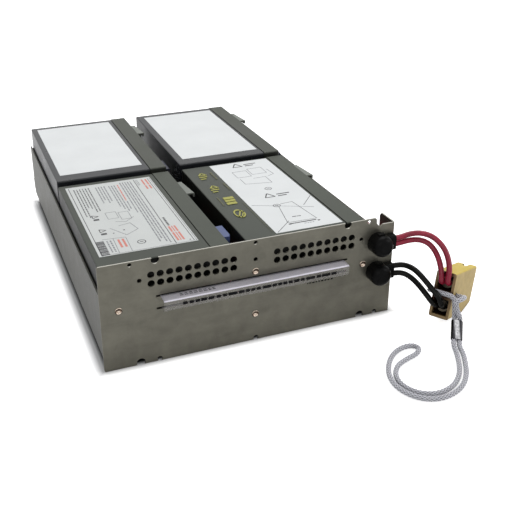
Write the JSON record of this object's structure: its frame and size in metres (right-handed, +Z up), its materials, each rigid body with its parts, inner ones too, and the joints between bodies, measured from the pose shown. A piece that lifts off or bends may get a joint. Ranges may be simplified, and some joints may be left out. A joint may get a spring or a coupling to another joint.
{
  "type": "ups battery cartridge",
  "caption": "Slide-in battery cartridge for a rack backup power unit: steel tray of sealed batteries, perforated front plate, pull strap, leads, two-pole plug and lanyard.",
  "frame": {"origin": "middle of the cartridge's footprint, level with the bottom edge of the front plate, which is its lowest edge; the leads, plug and lanyard aren't counted", "axes": "+X to the right as the front plate is faced, +Y from the front plate to the open rear, +Z up"},
  "size_m": [0.2938, 0.4314, 0.081],
  "materials": {
    "galvanised_steel": "satin galvanised sheet with faint mottling",
    "eyelet_steel": "plated, slightly coppery rim",
    "clear_film": "clear polyester film",
    "battery_plastic": "fine-grained dark grey ABS",
    "lid_plastic": "fine-grained dark grey ABS",
    "label_film": "pale printed film",
    "grey_vinyl": "soft vinyl",
    "blue_vinyl": "soft vinyl",
    "tinned_brass": "tinned",
    "foam": "closed-cell foam",
    "black_nylon": "moulded nylon",
    "red_insulation": "glossy wire insulation",
    "black_insulation": "glossy wire insulation",
    "yellow_housing": "moulded polycarbonate, slightly waxy",
    "contact_metal": "silver-plated copper",
    "spring_steel": "stainless strip",
    "white_cord": "round braided polyester",
    "ferrule_metal": "bright crimped sleeve"
  },
  "bodies": {
    "root": {"tray": "galvanised_steel", "front_plate": "galvanised_steel", "plate_rivets": "eyelet_steel", "pull_strap": "clear_film", "battery_case_rear_left": "battery_plastic", "battery_lid_rear_left": "lid_plastic", "vent_cover_rear_left": "lid_plastic", "battery_label_rear_left": "label_film", "grey_boot_rear_left": "grey_vinyl", "blue_boot_rear_left": "blue_vinyl", "foam_pad_rear_left": "foam", "battery_case_rear_right": "battery_plastic", "battery_lid_rear_right": "lid_plastic", "vent_cover_rear_right": "lid_plastic", "battery_label_rear_right": "label_film", "grey_boot_rear_right": "grey_vinyl", "blue_boot_rear_right": "blue_vinyl", "foam_pad_rear_right": "foam", "battery_case_front_left": "battery_plastic", "battery_lid_front_left": "lid_plastic", "vent_cover_front_left": "lid_plastic", "battery_label_front_left": "label_film", "grey_boot_front_left": "grey_vinyl", "blue_boot_front_left": "blue_vinyl", "foam_pad_front_left": "foam", "battery_case_front_right": "battery_plastic", "battery_lid_front_right": "lid_plastic", "vent_cover_front_right": "lid_plastic", "battery_label_front_right": "label_film", "grey_boot_front_right": "grey_vinyl", "blue_boot_front_right": "blue_vinyl", "foam_pad_front_right": "foam", "terminal_tabs": "tinned_brass", "foam_spacer_left": "foam", "foam_spacer_right": "foam", "upper_bushing": "black_nylon", "lower_bushing": "black_nylon", "tray_red_lead_left": "red_insulation", "tray_red_lead_right": "red_insulation", "tray_black_lead_left": "black_insulation", "tray_black_lead_right": "black_insulation", "battery_link_left": "black_insulation", "battery_link_right": "black_insulation", "connector_housing": "yellow_housing", "connector_contacts": "contact_metal", "contact_spring_low": "spring_steel", "contact_spring_high": "spring_steel", "red_lead_outer": "red_insulation", "red_lead_inner": "red_insulation", "black_lead_upper": "black_insulation", "black_lead_lower": "black_insulation", "lanyard_ferrule": "ferrule_metal", "lanyard_hitch": "white_cord", "lanyard_loop": "white_cord"}
  },
  "joints": []
}
